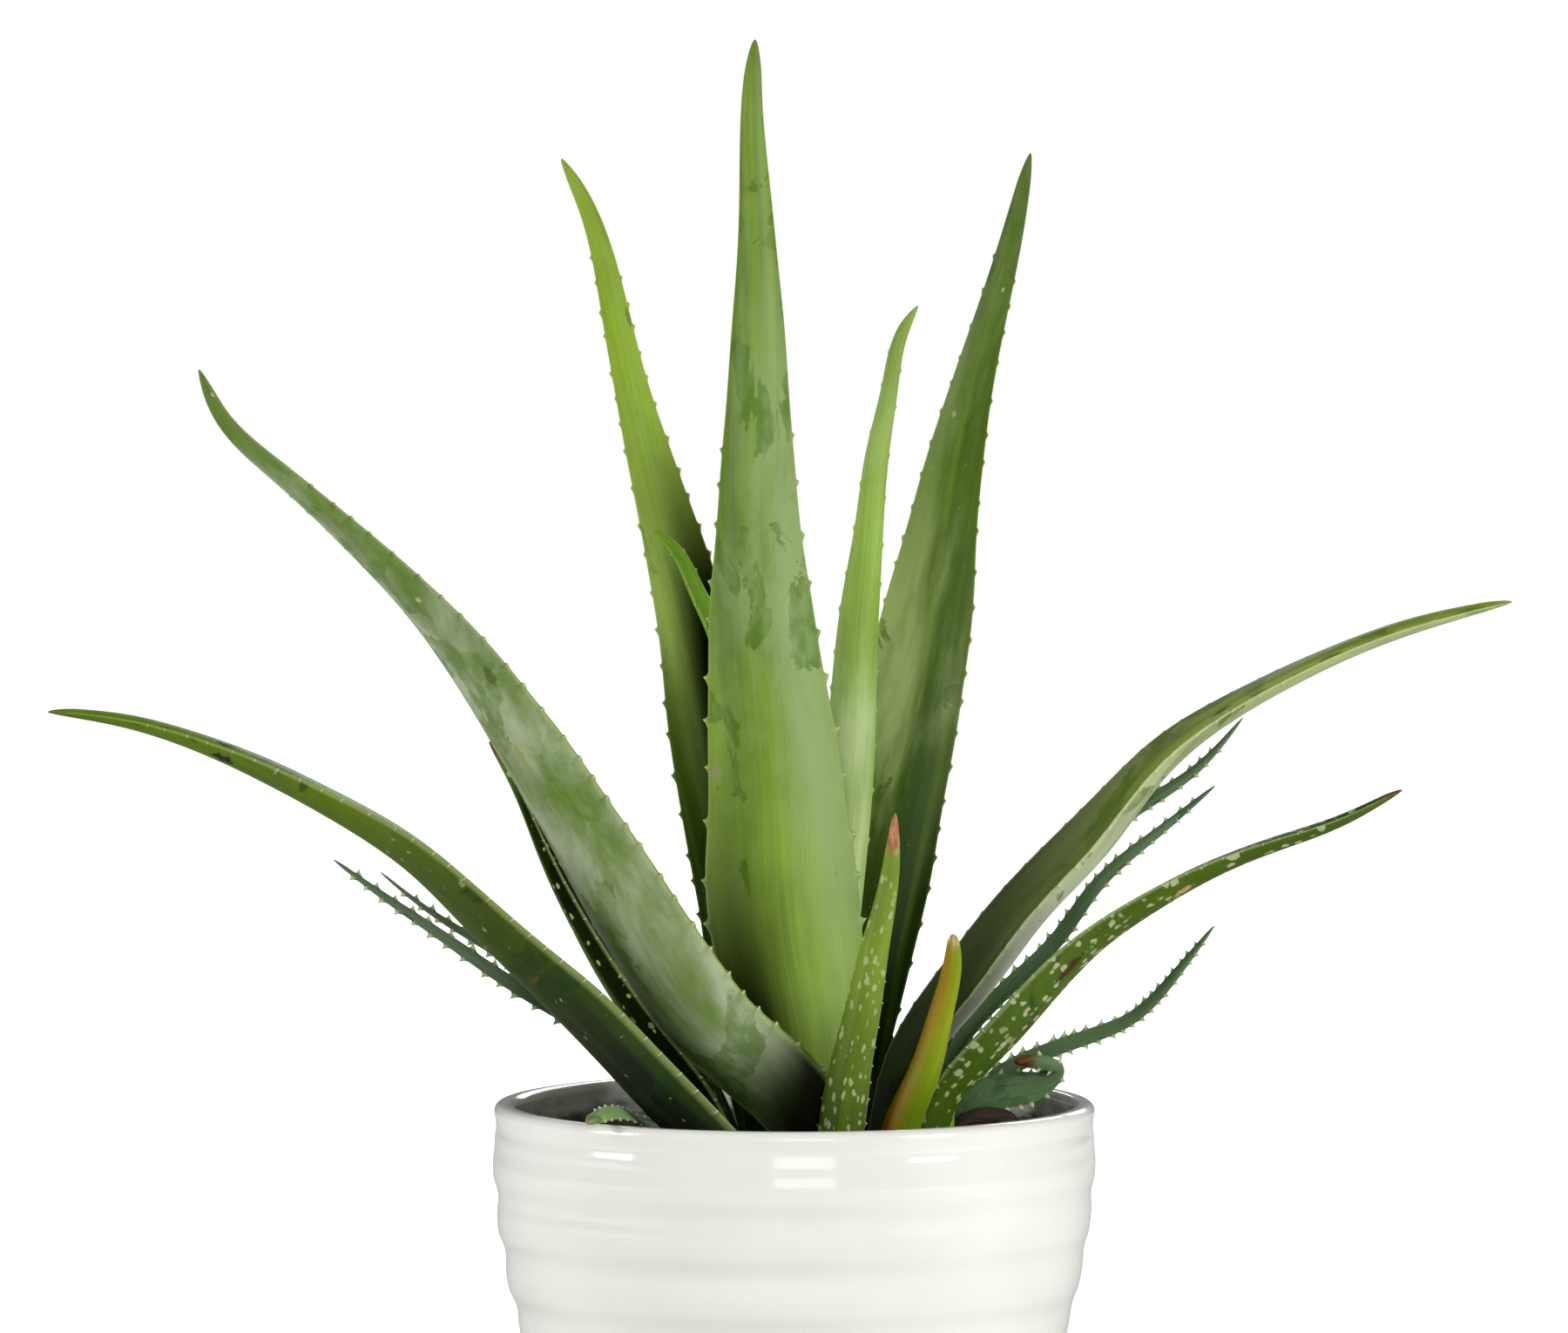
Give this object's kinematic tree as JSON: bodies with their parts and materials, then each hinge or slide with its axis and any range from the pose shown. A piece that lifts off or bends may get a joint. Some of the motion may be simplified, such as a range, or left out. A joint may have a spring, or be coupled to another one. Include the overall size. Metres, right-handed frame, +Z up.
{
  "type": "potted aloe plant",
  "caption": "Aloe plant with long, thick, tapering, spotted leaves and small toothed offsets, standing in soil in a round white glazed pot with ribbed walls.",
  "frame": {"origin": "centre of the pot's flat foot, on the surface it stands on", "axes": "+Z up out of the pot, -Y towards the front, where the short spotted leaves stand; +X towards the big arching leaf, to the right seen from the front"},
  "size_m": [0.48, 0.2153, 0.504],
  "materials": {
    "white_glaze": "gloss",
    "soil_dark": "matte",
    "leaf_green": "satin",
    "leaf_spotted": "satin",
    "leaf_young": "satin",
    "leaf_blue_green": "satin",
    "dry_fibre": "matte",
    "stem_pale": "matte"
  },
  "bodies": {
    "root": {"pot": "white_glaze", "potting_soil": "soil_dark", "main_stem": "stem_pale", "fibre_clump": "dry_fibre", "centre_leaf": "leaf_green", "broad_left_leaf": "leaf_green", "low_left_leaf": "leaf_spotted", "hidden_left_leaf": "leaf_spotted", "upright_left_leaf": "leaf_green", "small_left_leaf": "leaf_young", "young_right_leaf": "leaf_young", "upright_right_leaf": "leaf_green", "broad_right_leaf": "leaf_green", "spotted_right_leaf": "leaf_spotted", "spotted_front_leaf": "leaf_spotted", "short_front_leaf": "leaf_young", "leaf_sprout": "leaf_young", "low_right_leaf": "leaf_spotted", "toothed_left_long_leaf": "leaf_blue_green", "toothed_left_short_leaf": "leaf_blue_green", "toothed_stub_leaf": "leaf_blue_green", "toothed_right_top_leaf": "leaf_blue_green", "toothed_right_long_leaf": "leaf_blue_green", "toothed_right_low_leaf": "leaf_blue_green", "toothed_right_folded_leaf": "leaf_blue_green"}
  },
  "joints": []
}
